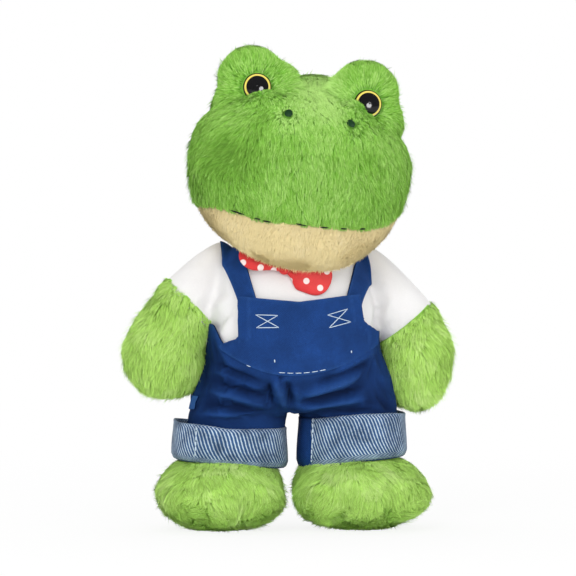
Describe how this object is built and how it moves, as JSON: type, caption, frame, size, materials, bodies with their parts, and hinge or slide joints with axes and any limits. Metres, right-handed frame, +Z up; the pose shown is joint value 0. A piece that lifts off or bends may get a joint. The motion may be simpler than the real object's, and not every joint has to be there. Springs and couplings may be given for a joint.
{
  "type": "plush frog",
  "caption": "Standing plush frog with a big soft head on a turning neck, safety eyes, swinging arms and legs, turned-up denim dungarees and a spotted bow tie.",
  "frame": {"origin": "middle of the toy's bounding box, on the floor that it stands on", "axes": "+Z up, -Y the way the frog faces, +X the frog's own left"},
  "size_m": [0.232, 0.127, 0.3286],
  "materials": {
    "green_fur": "matte",
    "cream_fur": "matte",
    "white_cloth": "matte",
    "stuffing": "matte",
    "denim": "matte",
    "denim_reverse": "matte",
    "red_cotton": "matte",
    "dark_thread": "satin",
    "black_plastic": "gloss",
    "yellow_plastic": "satin"
  },
  "bodies": {
    "torso": {"torso_skin": "white_cloth", "torso_stuffing": "stuffing", "bib": "denim", "overalls_seat": "denim", "left_strap": "denim", "right_strap": "denim", "left_bow_loop": "red_cotton", "right_bow_loop": "red_cotton", "bow_knot": "red_cotton"},
    "neck": {"neck": "white_cloth"},
    "head": {"head_skin": "green_fur", "chin_skin": "cream_fur", "head_stuffing": "stuffing", "left_eye_lobe": "green_fur", "right_eye_lobe": "green_fur", "left_nostril": "dark_thread", "right_nostril": "dark_thread", "left_eye_rim": "black_plastic", "left_eye_ring": "yellow_plastic", "left_eye_pupil": "black_plastic", "left_eye_washer": "black_plastic", "right_eye_rim": "black_plastic", "right_eye_ring": "yellow_plastic", "right_eye_pupil": "black_plastic", "right_eye_washer": "black_plastic"},
    "left_arm": {"left_sleeve": "white_cloth", "left_mitt": "green_fur", "left_arm_stuffing": "stuffing"},
    "right_arm": {"right_sleeve": "white_cloth", "right_mitt": "green_fur", "right_arm_stuffing": "stuffing"},
    "left_leg": {"left_trouser_leg": "denim", "left_leg": "white_cloth", "left_cuff": "denim_reverse", "left_foot": "green_fur"},
    "right_leg": {"right_trouser_leg": "denim", "right_leg": "white_cloth", "right_cuff": "denim_reverse", "right_foot": "green_fur", "side_tab": "denim_reverse"}
  },
  "joints": [
    {"name": "head_turn", "type": "hinge", "parent": "torso", "child": "neck", "pos_m": [0, 0.02193, 0.206], "axis": [0, 0, 1], "range_deg": [-25, 25]},
    {"name": "head_lean", "type": "hinge", "parent": "neck", "child": "head", "pos_m": [0, 0.02193, 0.206], "axis": [0, 1, 0], "range_deg": [-16, 0]},
    {"name": "left_shoulder", "type": "hinge", "parent": "torso", "child": "left_arm", "pos_m": [0.053, 0.02193, 0.174], "axis": [-1, 0, 0], "range_deg": [-40, 60]},
    {"name": "right_shoulder", "type": "hinge", "parent": "torso", "child": "right_arm", "pos_m": [-0.053, 0.02193, 0.174], "axis": [-1, 0, 0], "range_deg": [-40, 60]},
    {"name": "left_hip", "type": "hinge", "parent": "torso", "child": "left_leg", "pos_m": [0.034, 0.01593, 0.077], "axis": [-1, 0, 0], "range_deg": [0, 75]},
    {"name": "right_hip", "type": "hinge", "parent": "torso", "child": "right_leg", "pos_m": [-0.034, 0.01593, 0.077], "axis": [-1, 0, 0], "range_deg": [0, 75]}
  ]
}
